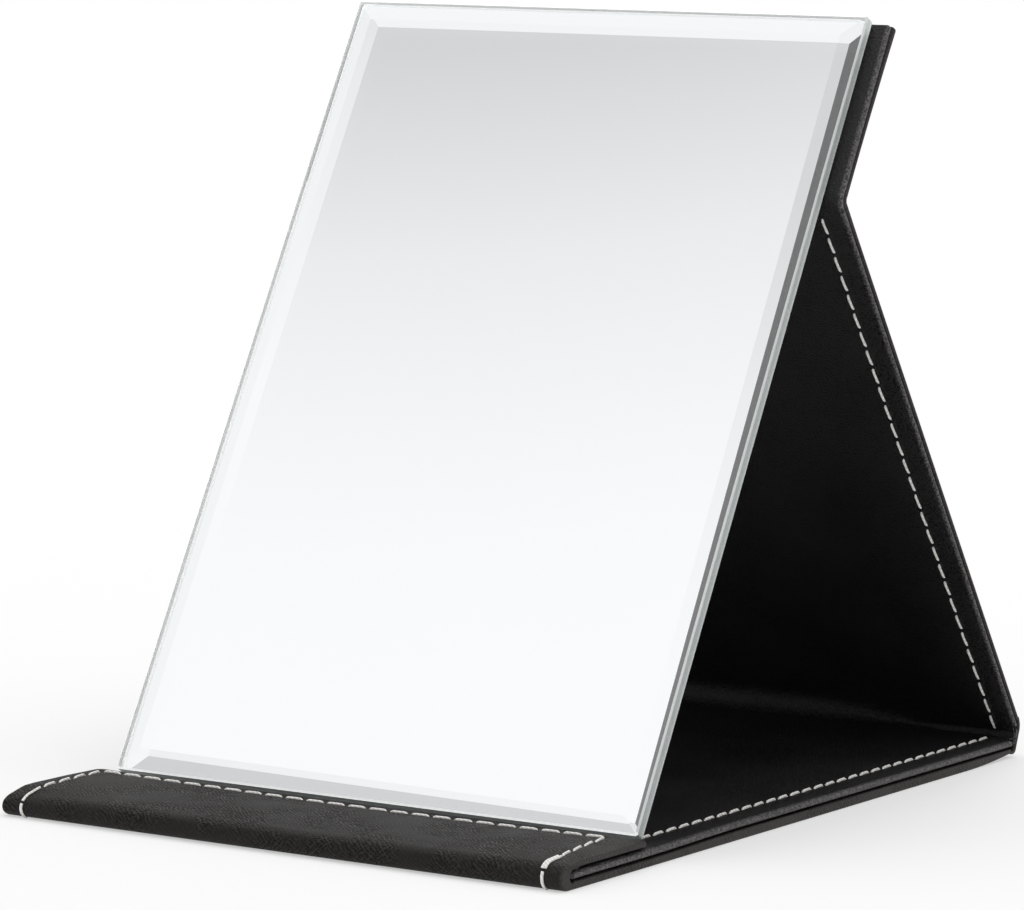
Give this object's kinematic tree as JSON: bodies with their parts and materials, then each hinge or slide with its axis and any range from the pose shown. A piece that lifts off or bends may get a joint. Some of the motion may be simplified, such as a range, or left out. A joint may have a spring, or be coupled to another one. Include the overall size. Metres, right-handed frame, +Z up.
{
  "type": "folding tabletop mirror",
  "caption": "Bevelled rectangular mirror on a leather-covered folder that folds out into its own stand, with a closing flap at the front of the base.",
  "frame": {"origin": "under the middle of the base, on the surface it stands on", "axes": "+X to the right as seen by a person looking into the mirror, +Y from the front to the rear, +Z up"},
  "size_m": [0.148, 0.2179, 0.1823],
  "materials": {
    "cover_leather": "cross-grained, semi-matt",
    "lining_leather": "smooth, semi-matt",
    "board": "grey fibre board",
    "glass": "polished, bevelled, ground side edge",
    "silvering": "bright, painted behind",
    "adhesive": "matt foam",
    "magnet": "nickel plated",
    "steel": "plain sheet"
  },
  "bodies": {
    "base": {"base_cover": "cover_leather", "base_cover_board": "board", "base_lining": "lining_leather", "base_lining_board": "board", "flap_roll": "cover_leather", "rear_lower_fold": "cover_leather"},
    "flap": {"flap_board": "board", "flap_cover": "cover_leather", "flap_magnet_left": "magnet", "flap_magnet_right": "magnet"},
    "spine": {"rear_upper_fold": "cover_leather", "spine_cover": "cover_leather", "spine_lining": "lining_leather"},
    "stand": {"stand_cover": "cover_leather", "stand_cover_board": "board", "stand_lining": "lining_leather", "stand_lining_board": "board", "top_fold": "cover_leather"},
    "mirror": {"mirror_adhesive": "adhesive", "mirror_glass": "glass", "mirror_silver": "silvering", "strip_cover": "cover_leather", "strip_cover_board": "board", "strip_keeper_left": "steel", "strip_keeper_right": "steel", "strip_lining": "lining_leather", "strip_lining_board": "board"}
  },
  "joints": [
    {"name": "flap_hinge", "type": "hinge", "parent": "base", "child": "flap", "pos_m": [0, -0.1043, 0.0032], "axis": [1, 0, 0], "range_deg": [0, 180], "deforming": ["flap_roll"]},
    {"name": "spine_hinge", "type": "hinge", "parent": "base", "child": "spine", "pos_m": [0, 0.1075, 0.0004], "axis": [-1, 0, 0], "range_deg": [0, 69], "deforming": ["rear_lower_fold"]},
    {"name": "stand_hinge", "type": "hinge", "parent": "spine", "child": "stand", "pos_m": [0, 0.11044, 0.00806], "axis": [-1, 0, 0], "range_deg": [0, 57.57], "deforming": ["rear_upper_fold"]},
    {"name": "mirror_hinge", "type": "hinge", "parent": "stand", "child": "mirror", "pos_m": [0, 0.01182, 0.14097], "axis": [1, 0, 0], "range_deg": [0, 65.44], "deforming": ["top_fold"]}
  ],
  "couplings": [
    {"joint": "stand_hinge", "follows": "spine_hinge", "ratio": 0.83441},
    {"joint": "mirror_hinge", "follows": "spine_hinge", "ratio": 0.94838}
  ]
}
